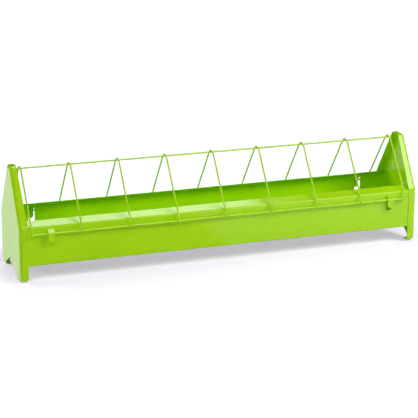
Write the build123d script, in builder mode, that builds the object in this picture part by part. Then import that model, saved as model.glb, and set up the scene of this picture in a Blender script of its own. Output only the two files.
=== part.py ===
from build123d import *
import math
import os

# Trough feeder: a folded sheet-steel channel between two pressed gable end plates, with a
# welded wire grille that is held by four tabs lanced out of the channel walls.
# Frame: origin on the floor under the middle of the feeder, +X along its length,
# -Y is the front, +Z up. All sizes in millimetres.

# Overall sizes
length = 750.0
half_width = 70.0
height = 193.0
sheet = 1.0

# End plates
flange_width = 15.0
top_flange_width = 12.5
foot_flange_width = 7.5
plate_bend_radius = 6.0
shoulder_z = 99.8
shoulder_radius = 14.0
top_half_width = 12.0
top_corner_radius = 7.0
foot_corner_radius = 12.0
notch_z = 29.0
notch_apex_radius = 3.0
notch_knee = (37.0, 10.0)
toe_y = 46.0
toe_radius = 5.0

# Trough channel
channel_half_width = half_width - sheet
channel_bottom_z = 29.4
fold_z = 99.0
lip_edge_y = 52.5
lip_edge_z = 106.0
fold_radius = 3.0
channel_end_gap = 0.4

# Lanced tabs that hold the grille's side wires
tab_x = 320.0
tab_width = 11.4
tab_root_z = 94.0
tab_reach = 8.3
tab_fall = 5.7
tab_end_z = 71.5
tab_bend_radius = 2.0
slot_clearance = 0.3
slot_end_z = 64.6

# Wire grille
wire_diameter = 3.0
weld_set_down = 0.3
cross_wire_count = 9
cross_wire_pitch = 87.8
grille_shift_x = -3.4
side_wire_y = 74.0
side_wire_z = 86.5
ridge_wire_z = 186.0
leg_bend_z = 93.5
leg_end_z = 85.0
leg_bend_radius = 5.0
peak_z = 198.7

os.makedirs("parts", exist_ok=True)

wire_radius = wire_diameter / 2
half_length = length / 2
wire_step = wire_diameter - weld_set_down
grille_half_length = (cross_wire_count - 1) / 2 * cross_wire_pitch


# ---------------------------------------------------------------- end plates
gable_points = [
    (-half_width, 0),
    (half_width, 0),
    (half_width, shoulder_z),
    (top_half_width, height),
    (-top_half_width, height),
    (-half_width, shoulder_z),
]
notch_floor_z = -0.3 * sheet
notch_points = [
    (-half_width, -sheet),
    (-half_width, notch_floor_z),
    (-toe_y, notch_floor_z),
    (-notch_knee[0], notch_knee[1]),
    (0, notch_z),
    notch_knee,
    (toe_y, notch_floor_z),
    (half_width, notch_floor_z),
    (half_width, -sheet),
]
foot_round = flange_width - foot_flange_width

with BuildSketch() as gable:
    with BuildLine():
        Polyline(*gable_points, close=True)
    make_face()
    corner_rows = gable.vertices().group_by(Axis.Y)
    fillet(corner_rows[0], foot_corner_radius)
    fillet([v for v in gable.vertices() if (abs(v.X), v.Y) == (half_width, shoulder_z)], shoulder_radius)
    fillet(gable.vertices().group_by(Axis.Y)[-1], top_corner_radius)

with BuildPart() as pan_cavity:
    with BuildSketch(Plane.YZ.offset(-half_length + sheet)):
        add(gable.sketch)
        offset(amount=-sheet)
    extrude(amount=flange_width)
    fillet(pan_cavity.faces().sort_by(Axis.X)[0].outer_wire().edges(), plate_bend_radius - sheet)

with BuildPart() as left_end_plate:
    # Gable outline, pressed to a pan that opens towards the trough
    with BuildSketch(Plane.YZ.offset(-half_length)):
        add(gable.sketch)
    extrude(amount=flange_width)
    fillet(left_end_plate.faces().sort_by(Axis.X)[0].outer_wire().edges(), plate_bend_radius)
    add(pan_cavity.part, mode=Mode.SUBTRACT)

    # The flange gets narrower up the gable
    with BuildSketch(Plane.XZ) as upper_trim:
        with BuildLine():
            Polyline(
                (-half_length + flange_width, shoulder_z),
                (-half_length + top_flange_width, height + sheet),
                (-half_length + flange_width + sheet, height + sheet),
                (-half_length + flange_width + sheet, shoulder_z),
                close=True,
            )
        make_face()
    extrude(amount=half_width + sheet, both=True, mode=Mode.SUBTRACT)

    # The flange is rounded off where it turns under each foot
    with BuildSketch(Plane.XZ) as foot_trim:
        with Locations((-half_length + flange_width, 0)):
            Rectangle(2 * foot_round, 2 * foot_round)
        with Locations((-half_length + foot_flange_width, foot_round)):
            Circle(foot_round, mode=Mode.SUBTRACT)
            Rectangle(2 * foot_round, 2 * foot_round, align=(Align.MAX, Align.CENTER), mode=Mode.SUBTRACT)
    extrude(amount=half_width + sheet, both=True, mode=Mode.SUBTRACT)

    # The notch between the two feet is cut straight through, and leaves a raw edge
    with BuildSketch(Plane.YZ.offset(-half_length - sheet)) as notch:
        with BuildLine():
            Polyline(*notch_points, close=True)
        make_face()
        fillet(notch.vertices().group_by(Axis.Y)[-1], notch_apex_radius)
        fillet([v for v in notch.vertices() if (abs(v.X), v.Y) == (toe_y, notch_floor_z)], toe_radius)
    extrude(amount=flange_width + 2 * sheet, mode=Mode.SUBTRACT)
left_end_plate.part.label = "left_end_plate"
export_step(left_end_plate.part, "parts/left_end_plate.step")

with BuildPart() as right_end_plate:
    mirror(left_end_plate.part, about=Plane.YZ)
right_end_plate.part.label = "right_end_plate"
export_step(right_end_plate.part, "parts/right_end_plate.step")


# ------------------------------------------------------------ trough channel
channel_half_length = half_length - sheet - channel_end_gap
channel_line = [
    (-lip_edge_y, lip_edge_z),
    (-channel_half_width, fold_z),
    (-channel_half_width, channel_bottom_z),
    (channel_half_width, channel_bottom_z),
    (channel_half_width, fold_z),
    (lip_edge_y, lip_edge_z),
]
tab_outer_y = channel_half_width + tab_reach
tab_line = [
    (-channel_half_width, tab_root_z + 1.2 * sheet),
    (-channel_half_width, tab_root_z),
    (-tab_outer_y, tab_root_z - tab_fall),
    (-tab_outer_y, tab_end_z),
]
slot_width = tab_width + 2 * slot_clearance
slot_top_z = tab_root_z - 0.8 * sheet
slot_round_z = slot_end_z + slot_width / 2

# All that lies outside the left pan's inside, as far as its bend reaches
with BuildPart() as end_trim:
    with BuildSketch(Plane.YZ.offset(-half_length - sheet)):
        Rectangle(4 * half_width, 4 * height)
    extrude(amount=sheet + plate_bend_radius)
    add(pan_cavity.part, mode=Mode.SUBTRACT)

with BuildPart() as trough_channel:
    # One sheet folded into walls, bottom and two lips that lean inwards
    with BuildSketch(Plane.YZ.offset(-channel_half_length)) as channel_profile:
        with BuildLine():
            FilletPolyline(*channel_line, radius=fold_radius)
            offset(amount=sheet, side=Side.LEFT)
        make_face()
    extrude(amount=2 * channel_half_length)

    # Slots that the tabs are lanced from, through the front and the rear wall
    with BuildSketch(Plane.XZ) as tab_slots:
        for x in (-tab_x, tab_x):
            with Locations((x, (slot_top_z + slot_round_z) / 2)):
                Rectangle(slot_width, slot_top_z - slot_round_z)
            with Locations((x, slot_round_z)):
                Circle(slot_width / 2)
    extrude(amount=half_width, both=True, mode=Mode.SUBTRACT)

    # Tabs: root in the wall, a slope outwards over the side wire, then straight down
    tab_planes = [Plane.YZ.offset(x - tab_width / 2) for x in (-tab_x, tab_x)]
    with BuildSketch(*tab_planes) as tab_profile:
        with BuildLine():
            FilletPolyline(*tab_line, radius=tab_bend_radius)
            offset(amount=sheet, side=Side.LEFT)
        make_face()
        mirror(about=Plane.YZ)
    extrude(amount=tab_width)

    # Round the free end of each tab
    tab_round_z = tab_end_z + tab_width / 2
    end_planes = [Plane.XZ.offset(y) for y in (tab_outer_y - 2 * sheet, -tab_outer_y - sheet)]
    with BuildSketch(*end_planes) as tab_ends:
        for x in (-tab_x, tab_x):
            with Locations((x, tab_round_z)):
                Rectangle(2 * tab_width, tab_width, align=(Align.CENTER, Align.MAX))
                Circle(tab_width / 2, mode=Mode.SUBTRACT)
    extrude(amount=3 * sheet, mode=Mode.SUBTRACT)

    # The channel's ends are trimmed to the bends of the end plates that close them
    add(end_trim.part, mode=Mode.SUBTRACT)
    mirror(end_trim.part, about=Plane.YZ, mode=Mode.SUBTRACT)
trough_channel.part.label = "trough_channel"
export_step(trough_channel.part, "parts/trough_channel.step")


# --------------------------------------------------------------- wire grille
first_wire_x = grille_shift_x - grille_half_length
long_wire_start = first_wire_x - wire_radius
long_wire_length = 2 * grille_half_length + wire_diameter

with BuildPart() as ridge_wire:
    with BuildSketch(Plane.YZ.offset(long_wire_start)):
        with Locations((0, ridge_wire_z)):
            Circle(wire_radius)
    extrude(amount=long_wire_length)
ridge_wire.part.label = "ridge_wire"
export_step(ridge_wire.part, "parts/ridge_wire.step")

for name, side in (("front_side_wire", -1), ("rear_side_wire", 1)):
    with BuildPart() as side_wire:
        with BuildSketch(Plane.YZ.offset(long_wire_start)):
            with Locations((side * side_wire_y, side_wire_z)):
                Circle(wire_radius)
        extrude(amount=long_wire_length)
    side_wire.part.label = name
    export_step(side_wire.part, "parts/" + name + ".step")

# Each cross wire goes up one side, over the ridge wire in a round peak and down the other
# side. Its straight legs would meet at peak_z.
leg_y = side_wire_y + wire_step
apex_z = ridge_wire_z + wire_step
lean_sine = math.sin(math.atan2(leg_y, peak_z - leg_bend_z))
peak_radius = (peak_z - apex_z) * lean_sine / (1 - lean_sine)
leg_points = [
    (-leg_y, leg_end_z),
    (-leg_y, leg_bend_z),
    (0, peak_z),
    (leg_y, leg_bend_z),
    (leg_y, leg_end_z),
]

for number in range(1, cross_wire_count + 1):
    name = "cross_wire_" + str(number)
    wire_x = first_wire_x + (number - 1) * cross_wire_pitch
    with BuildPart() as cross_wire:
        with BuildLine(Plane.YZ.offset(wire_x)) as wire_path:
            FilletPolyline(*leg_points, radius=[leg_bend_radius, peak_radius, leg_bend_radius])
        with BuildSketch(Plane(origin=wire_path.line @ 0, z_dir=wire_path.line % 0)):
            Circle(wire_radius)
        sweep()
    cross_wire.part.label = name
    export_step(cross_wire.part, "parts/" + name + ".step")
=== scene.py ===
import math
import random

import bmesh
import bpy
from mathutils import Euler, Matrix, Vector


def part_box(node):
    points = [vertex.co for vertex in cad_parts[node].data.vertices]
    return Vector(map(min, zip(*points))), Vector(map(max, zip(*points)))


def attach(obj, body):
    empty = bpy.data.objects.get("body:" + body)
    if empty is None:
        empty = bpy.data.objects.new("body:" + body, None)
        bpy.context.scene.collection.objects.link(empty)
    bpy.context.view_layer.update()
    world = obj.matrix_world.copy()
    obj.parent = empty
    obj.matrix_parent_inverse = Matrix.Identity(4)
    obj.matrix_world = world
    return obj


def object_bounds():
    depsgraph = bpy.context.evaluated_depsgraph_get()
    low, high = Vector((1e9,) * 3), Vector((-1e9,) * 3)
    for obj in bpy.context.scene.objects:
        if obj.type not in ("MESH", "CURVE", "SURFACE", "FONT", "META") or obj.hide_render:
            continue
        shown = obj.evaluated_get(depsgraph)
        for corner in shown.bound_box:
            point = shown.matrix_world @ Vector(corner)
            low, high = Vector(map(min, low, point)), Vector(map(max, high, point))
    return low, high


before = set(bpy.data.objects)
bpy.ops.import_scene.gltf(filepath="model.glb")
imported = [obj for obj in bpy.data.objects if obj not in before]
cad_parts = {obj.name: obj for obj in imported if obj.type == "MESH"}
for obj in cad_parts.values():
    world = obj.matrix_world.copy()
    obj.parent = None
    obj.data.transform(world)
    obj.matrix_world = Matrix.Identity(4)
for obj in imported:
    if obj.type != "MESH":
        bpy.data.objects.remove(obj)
cad_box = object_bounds()

SHEET_NODES = ("trough_channel", "left_end_plate", "right_end_plate")
CROSS_WIRES = tuple(sorted(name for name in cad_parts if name.startswith("cross_wire_")))

# Lime powder coat as linear colours: its normal, thick and thin shades
SHEET_SHADES = ((0.510, 0.910, 0.003, 1.0), (0.480, 0.890, 0.002, 1.0), (0.540, 0.920, 0.010, 1.0))
# Wire coat: the same lime, set lighter and paler than the sheet's as painted light for the shine the
# thin round wires catch; its thick and thin drift is the coat's own
WIRE_SHADES = ((0.570, 0.930, 0.020, 1.0), (0.530, 0.890, 0.014, 1.0), (0.600, 0.940, 0.035, 1.0))
COAT_IOR = 1.5
CLEAR_TOP_WEIGHT = 0.3
CLEAR_TOP_ROUGHNESS = 0.06
PEEL_STRENGTH = 0.35
GRAIN_SHARE = 0.18


# ------------------------------------------------------------------ node helpers
def noise(tree, scale, detail=2.0, roughness=0.5):
    node = tree.nodes.new("ShaderNodeTexNoise")
    node.inputs["Scale"].default_value = scale
    node.inputs["Detail"].default_value = detail
    node.inputs["Roughness"].default_value = roughness
    return node


def feed(tree, socket, value):
    """Link a socket to another one, or set it to a constant."""
    if isinstance(value, bpy.types.NodeSocket):
        tree.links.new(value, socket)
    else:
        socket.default_value = value


def math_node(tree, operation, *values):
    node = tree.nodes.new("ShaderNodeMath")
    node.operation = operation
    for socket, value in zip(node.inputs, values):
        feed(tree, socket, value)
    return node.outputs[0]


def map_range(tree, value, low, high, to_low, to_high):
    node = tree.nodes.new("ShaderNodeMapRange")
    feed(tree, node.inputs["Value"], value)
    feed(tree, node.inputs["From Min"], low)
    feed(tree, node.inputs["From Max"], high)
    feed(tree, node.inputs["To Min"], to_low)
    feed(tree, node.inputs["To Max"], to_high)
    return node.outputs["Result"]


def mix_colour(tree, factor, first, second):
    node = tree.nodes.new("ShaderNodeMix")
    node.data_type = "RGBA"
    feed(tree, node.inputs["Factor"], factor)
    feed(tree, node.inputs[6], first)
    feed(tree, node.inputs[7], second)
    return node.outputs[2]


def new_group(name, inputs, outputs):
    """An empty shader group with its named sockets, and its two end nodes."""
    group = bpy.data.node_groups.new(name, "ShaderNodeTree")
    for socket_name, kind, value in inputs:
        socket = group.interface.new_socket(name=socket_name, in_out="INPUT", socket_type=kind)
        socket.default_value = value
    for socket_name, kind in outputs:
        group.interface.new_socket(name=socket_name, in_out="OUTPUT", socket_type=kind)
    return group, group.nodes.new("NodeGroupInput"), group.nodes.new("NodeGroupOutput")


def place_group(tree, group, **values):
    node = tree.nodes.new("ShaderNodeGroup")
    node.node_tree = group
    for name, value in values.items():
        node.inputs[name.replace("_", " ")].default_value = value
    return node


# ------------------------------------------------------------------ powder coat
def build_orange_peel():
    """Height of the soft ripple that a baked powder coat keeps, with a finer grain on top."""
    group, start, end = new_group(
        "orange_peel",
        [("Ripple scale", "NodeSocketFloat", 260.0), ("Grain scale", "NodeSocketFloat", 1400.0)],
        [("Height", "NodeSocketFloat")],
    )
    place = group.nodes.new("ShaderNodeTexCoord")
    ripple = noise(group, 260.0, 1.5, 0.45)
    grain = noise(group, 1400.0, 1.0, 0.5)
    for node, name in ((ripple, "Ripple scale"), (grain, "Grain scale")):
        group.links.new(place.outputs["Object"], node.inputs["Vector"])
        group.links.new(start.outputs[name], node.inputs["Scale"])
    fine = math_node(group, "MULTIPLY", grain.outputs["Fac"], GRAIN_SHARE)
    group.links.new(math_node(group, "ADD", ripple.outputs["Fac"], fine), end.inputs["Height"])
    return group


def build_coat_colour():
    """Slow drift of the coat between its normal, thick and thin shades, and its gloss."""
    normal, thick, thin = SHEET_SHADES
    group, start, end = new_group(
        "coat_colour",
        [
            ("Normal shade", "NodeSocketColor", normal),
            ("Thick shade", "NodeSocketColor", thick),
            ("Thin shade", "NodeSocketColor", thin),
            ("Smoothest", "NodeSocketFloat", 0.13),
            ("Roughest", "NodeSocketFloat", 0.19),
        ],
        [("Colour", "NodeSocketColor"), ("Roughness", "NodeSocketFloat")],
    )
    place = group.nodes.new("ShaderNodeTexCoord")
    drift = noise(group, 9.0, 3.0, 0.55)
    cloud = noise(group, 42.0, 3.0, 0.6)
    for node in (drift, cloud):
        group.links.new(place.outputs["Object"], node.inputs["Vector"])
    thickness = map_range(group, drift.outputs["Fac"], 0.42, 0.68, 0.0, 0.7)
    thinness = map_range(group, cloud.outputs["Fac"], 0.56, 0.78, 0.0, 0.55)
    base = mix_colour(group, thickness, start.outputs["Normal shade"], start.outputs["Thick shade"])
    colour = mix_colour(group, thinness, base, start.outputs["Thin shade"])
    gloss = map_range(
        group, cloud.outputs["Fac"], 0.3, 0.7, start.outputs["Smoothest"], start.outputs["Roughest"]
    )
    group.links.new(colour, end.inputs["Colour"])
    group.links.new(gloss, end.inputs["Roughness"])
    return group


ORANGE_PEEL = build_orange_peel()
COAT_COLOUR = build_coat_colour()


def lime_coat(name, shades, ripple, grain, peel_height, smoothest, roughest):
    """Gloss lime powder coat on steel, from its normal, thick and thin shades."""
    material = bpy.data.materials.new(name)
    material.use_nodes = True
    tree = material.node_tree
    shader = tree.nodes["Principled BSDF"]
    normal, thick, thin = shades
    colour = place_group(
        tree,
        COAT_COLOUR,
        Normal_shade=normal,
        Thick_shade=thick,
        Thin_shade=thin,
        Smoothest=smoothest,
        Roughest=roughest,
    )
    peel = place_group(tree, ORANGE_PEEL, Ripple_scale=ripple, Grain_scale=grain)
    bump = tree.nodes.new("ShaderNodeBump")
    bump.inputs["Strength"].default_value = PEEL_STRENGTH
    bump.inputs["Distance"].default_value = peel_height
    tree.links.new(peel.outputs["Height"], bump.inputs["Height"])
    tree.links.new(colour.outputs["Colour"], shader.inputs["Base Color"])
    tree.links.new(colour.outputs["Roughness"], shader.inputs["Roughness"])
    tree.links.new(bump.outputs["Normal"], shader.inputs["Normal"])
    shader.inputs["IOR"].default_value = COAT_IOR
    shader.inputs["Coat Weight"].default_value = CLEAR_TOP_WEIGHT
    shader.inputs["Coat Roughness"].default_value = CLEAR_TOP_ROUGHNESS
    return material


sheet_coat = lime_coat("lime_coat_sheet", SHEET_SHADES, 260.0, 1500.0, 0.00025, 0.13, 0.19)
wire_coat = lime_coat("lime_coat_wire", WIRE_SHADES, 520.0, 2400.0, 0.0002, 0.24, 0.34)

for node_name, node_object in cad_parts.items():
    node_object.data.materials.clear()
    node_object.data.materials.append(sheet_coat if node_name in SHEET_NODES else wire_coat)


# ------------------------------------------------------------------ weld nuggets
NUGGET_RADIUS = 0.0017
NUGGET_RISE = 0.0011
NUGGET_SINK = 0.95
NUGGET_LEAN = 0.12
NUGGET_SWELL = 0.06


def wire_centre(name):
    low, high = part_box(name)
    return (low + high) / 2


def weld_nugget(mesh, centre, normal, along, rng):
    """One squeezed-out weld: a low lump between two crossing wires, a little uneven."""
    before = set(mesh.verts)
    bmesh.ops.create_icosphere(mesh, subdivisions=3, radius=1.0)
    side = normal.cross(along).normalized()
    length = NUGGET_RADIUS * rng.uniform(0.92, 1.12)
    width = NUGGET_RADIUS * rng.uniform(0.92, 1.12)
    rise = NUGGET_RISE * rng.uniform(0.9, 1.1)
    lean = rng.uniform(-NUGGET_LEAN, NUGGET_LEAN)
    for vert in set(mesh.verts) - before:
        x, y, z = vert.co
        swell = 1.0 + NUGGET_SWELL * math.sin(5.0 * x + 3.0 * y + lean * 20.0)
        offset = along * (x * length * swell) + side * (y * width * swell)
        vert.co = centre + offset + normal * ((z + lean * x) * rise)


def weld_row(name, wire_name, seed):
    """The row of weld nuggets that joins every cross wire to one long wire."""
    rng = random.Random(seed)
    mesh = bmesh.new()
    long_centre = wire_centre(wire_name)
    low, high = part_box(wire_name)
    wire_radius = (high.z - low.z) / 2
    if wire_name == "ridge_wire":
        normal = Vector((0, 0, 1))
    else:
        normal = Vector((0, math.copysign(1, long_centre.y), 0))
    for cross in CROSS_WIRES:
        crossing = Vector((wire_centre(cross).x, long_centre.y, long_centre.z))
        centre = crossing + normal * (wire_radius * NUGGET_SINK)
        weld_nugget(mesh, centre, normal, Vector((1, 0, 0)), rng)
    data = bpy.data.meshes.new(name)
    mesh.to_mesh(data)
    mesh.free()
    for face in data.polygons:
        face.use_smooth = True
    piece = bpy.data.objects.new(name, data)
    bpy.context.scene.collection.objects.link(piece)
    data.materials.append(wire_coat)
    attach(piece, "grille")


weld_row("ridge_welds", "ridge_wire", 11)
weld_row("front_side_welds", "front_side_wire", 12)
weld_row("rear_side_welds", "rear_side_wire", 13)


# ------------------------------------------------------------------ studio floor
FLOOR_HALF = 6.0
PAPER_SHADES = ((0.90, 0.90, 0.90, 1.0), (0.92, 0.92, 0.92, 1.0))
PAPER_ROUGHNESS = 0.9

# The paper's glow: close in it is a painted shade, dimmer and tinted to cancel the green that the
# object throws on it, which sets the grey of its shadow, and far from the lamps it is full, so the
# paper stays white to the horizon
BOUNCE_CANCEL_GLOW = (0.393, 0.295, 0.485, 1.0)
OPEN_GLOW = (0.55, 0.55, 0.55, 1.0)
FAR_GLOW = (1.0, 1.0, 1.0, 1.0)
BOUNCE_CANCEL_REACH = (0.0, 0.10)
FAR_REACH = (0.4, 1.8)

CARD_HEIGHT = 0.0005
CARD_END = 1.6
CARD_FRONT = -0.085
CARD_SHADES = ((0.115, 0.115, 0.115, 1.0), (0.125, 0.125, 0.125, 1.0))


def stage_mesh(name, data):
    """A studio piece with its own plain material, given back with that material's nodes."""
    piece = bpy.data.objects.new(name, data)
    bpy.context.scene.collection.objects.link(piece)
    material = bpy.data.materials.new(name + "_paper")
    material.use_nodes = True
    data.materials.append(material)
    return piece, material.node_tree


def past_edge(tree, value, edge):
    """Square of how far a coordinate lies beyond the object's edge, on either side."""
    beyond = math_node(tree, "SUBTRACT", math_node(tree, "ABSOLUTE", value), edge)
    outside = math_node(tree, "MAXIMUM", beyond, 0.0)
    return math_node(tree, "MULTIPLY", outside, outside)


def paper_glow(tree):
    """Colour of the paper's own glow, by the distance from the object's box: close in, a painted
    shade tinted against the object's green bounce light.
    """
    place = tree.nodes.new("ShaderNodeTexCoord")
    parts = tree.nodes.new("ShaderNodeSeparateXYZ")
    tree.links.new(place.outputs["Object"], parts.inputs["Vector"])
    out_x = past_edge(tree, parts.outputs["X"], cad_box[1][0])
    out_y = past_edge(tree, parts.outputs["Y"], cad_box[1][1])
    distance = math_node(tree, "SQRT", math_node(tree, "ADD", out_x, out_y))
    near = map_range(tree, distance, *BOUNCE_CANCEL_REACH, 0.0, 1.0)
    far = map_range(tree, distance, *FAR_REACH, 0.0, 1.0)
    return mix_colour(tree, far, mix_colour(tree, near, BOUNCE_CANCEL_GLOW, OPEN_GLOW), FAR_GLOW)


def for_camera_only(tree, others, camera, output_name):
    """Send one shader to the camera and another to every other ray."""
    seen = tree.nodes.new("ShaderNodeLightPath")
    pick = tree.nodes.new("ShaderNodeMixShader")
    tree.links.new(seen.outputs["Is Camera Ray"], pick.inputs["Fac"])
    tree.links.new(others, pick.inputs[1])
    tree.links.new(camera, pick.inputs[2])
    tree.links.new(pick.outputs["Shader"], tree.nodes[output_name].inputs["Surface"])


def pale_floor():
    """White studio sweep: matt paper that also glows a little towards the camera."""
    mesh = bmesh.new()
    bmesh.ops.create_grid(mesh, x_segments=8, y_segments=8, size=FLOOR_HALF)
    data = bpy.data.meshes.new("studio_floor")
    mesh.to_mesh(data)
    mesh.free()
    _, tree = stage_mesh("studio_floor", data)
    shader = tree.nodes["Principled BSDF"]
    paper = noise(tree, 3.0)
    tree.links.new(mix_colour(tree, paper.outputs["Fac"], *PAPER_SHADES), shader.inputs["Base Color"])
    shader.inputs["Roughness"].default_value = PAPER_ROUGHNESS
    shader.inputs["Specular IOR Level"].default_value = 0.0
    glow = tree.nodes.new("ShaderNodeEmission")
    tree.links.new(paper_glow(tree), glow.inputs["Color"])
    both = tree.nodes.new("ShaderNodeAddShader")
    tree.links.new(shader.outputs["BSDF"], both.inputs[0])
    tree.links.new(glow.outputs["Emission"], both.inputs[1])
    for_camera_only(tree, shader.outputs["BSDF"], both.outputs["Shader"], "Material Output")


def floor_card(name, low, high, glow):
    """Card flat on the floor that only the coat's reflections see."""
    corners = [(low[0], low[1]), (high[0], low[1]), (high[0], high[1]), (low[0], high[1])]
    data = bpy.data.meshes.new(name)
    data.from_pydata([(x, y, CARD_HEIGHT) for x, y in corners], [], [(0, 1, 2, 3)])
    card, tree = stage_mesh(name, data)
    shader = tree.nodes["Principled BSDF"]
    mottle = noise(tree, 40.0)
    tree.links.new(mix_colour(tree, mottle.outputs["Fac"], *CARD_SHADES), shader.inputs["Base Color"])
    shader.inputs["Specular IOR Level"].default_value = 0.0
    shader.inputs["Emission Color"].default_value = (1.0, 1.0, 1.0, 1.0)
    shader.inputs["Emission Strength"].default_value = glow
    card.visible_camera = False
    card.visible_diffuse = False
    card.visible_shadow = False


def white_surroundings():
    """White to look at, and dark to light by, so that the soft boxes alone shape the coat."""
    world = bpy.data.worlds.new("studio")
    bpy.context.scene.world = world
    world.use_nodes = True
    tree = world.node_tree
    dark = tree.nodes["Background"]
    dark.inputs["Color"].default_value = (1.0, 1.0, 1.0, 1.0)
    dark.inputs["Strength"].default_value = 0.0
    white = tree.nodes.new("ShaderNodeBackground")
    white.inputs["Color"].default_value = (1.0, 1.0, 1.0, 1.0)
    for_camera_only(tree, dark.outputs["Background"], white.outputs["Background"], "World Output")


pale_floor()
floor_card("studio_dark_card", (-CARD_END, -CARD_END), (0.045, CARD_FRONT), 0.0)
floor_card("studio_white_card", (-CARD_END, CARD_FRONT), (cad_box[0][0] - 0.003, CARD_END), 0.85)
white_surroundings()


# ------------------------------------------------------------------ lamps
FEEDER_MIDDLE = (0.0, 0.0, 0.1)


def soft_box(name, location, target, size, radiance, glossy=True, diffuse=True):
    """A square soft light that faces its target, of the given brightness over its whole face."""
    data = bpy.data.lights.new(name, "AREA")
    data.shape = "RECTANGLE"
    data.size, data.size_y = size
    data.energy = math.pi * size[0] * size[1] * radiance
    light = bpy.data.objects.new(name, data)
    bpy.context.scene.collection.objects.link(light)
    facing = (Vector(target) - Vector(location)).to_track_quat("-Z", "Y")
    light.matrix_world = Matrix.Translation(location) @ facing.to_matrix().to_4x4()
    light.visible_camera = False
    light.visible_glossy = glossy
    light.visible_diffuse = diffuse


def fill_box(name, location, size, radiance):
    """A soft light that lights the coat's colour but doesn't show in its gloss."""
    soft_box(name, location, FEEDER_MIDDLE, size, radiance, glossy=False)


def shine_box(name, location, target, size, radiance):
    """A soft light that shows only in the gloss."""
    soft_box(name, location, target, size, radiance, diffuse=False)


fill_box("right_key", (1.42, -1.2, 1.45), (0.9, 0.9), 10.0)
fill_box("top_front", (0.0, -1.1, 1.9), (2.4, 0.8), 1.3)
fill_box("front_left", (-1.5, -1.6, 1.3), (0.9, 0.9), 4.4)
fill_box("back_left", (-1.8, 1.2, 0.9), (1.2, 1.2), 3.9)
fill_box("back", (0.0, 2.2, 0.9), (3.0, 1.4), 1.0)
shine_box("right_key_shine", (1.25, -1.3, 1.45), FEEDER_MIDDLE, (0.9, 0.9), 4.6)
shine_box("lip_shine", (0.08, 0.9, 2.0), (0.08, 0.9, 0.0), (1.6, 1.0), 4.2)
shine_box("slope_shine", (-0.1, 0.0, 2.0), (-0.1, 0.0, 0.0), (1.5, 0.6), 4.2)
shine_box("front_shine", (0.0, -2.4, 0.9), FEEDER_MIDDLE, (2.4, 0.8), 2.2)


# ------------------------------------------------------------------ camera
CAMERA_LENS = 135.93
CAMERA_PLACE = (-0.95119, -2.57533, 0.8868)
CAMERA_TURN_DEG = (73.6025, -0.2715, -20.0480)

camera_data = bpy.data.cameras.new("camera")
camera_data.sensor_fit = "HORIZONTAL"
camera_data.sensor_width = 36.0
camera_data.lens = CAMERA_LENS
camera_data.clip_end = 50.0
camera = bpy.data.objects.new("camera", camera_data)
bpy.context.scene.collection.objects.link(camera)
camera.location = CAMERA_PLACE
camera.rotation_euler = Euler([math.radians(angle) for angle in CAMERA_TURN_DEG])
bpy.context.scene.camera = camera
bpy.context.scene.view_settings.view_transform = "Standard"
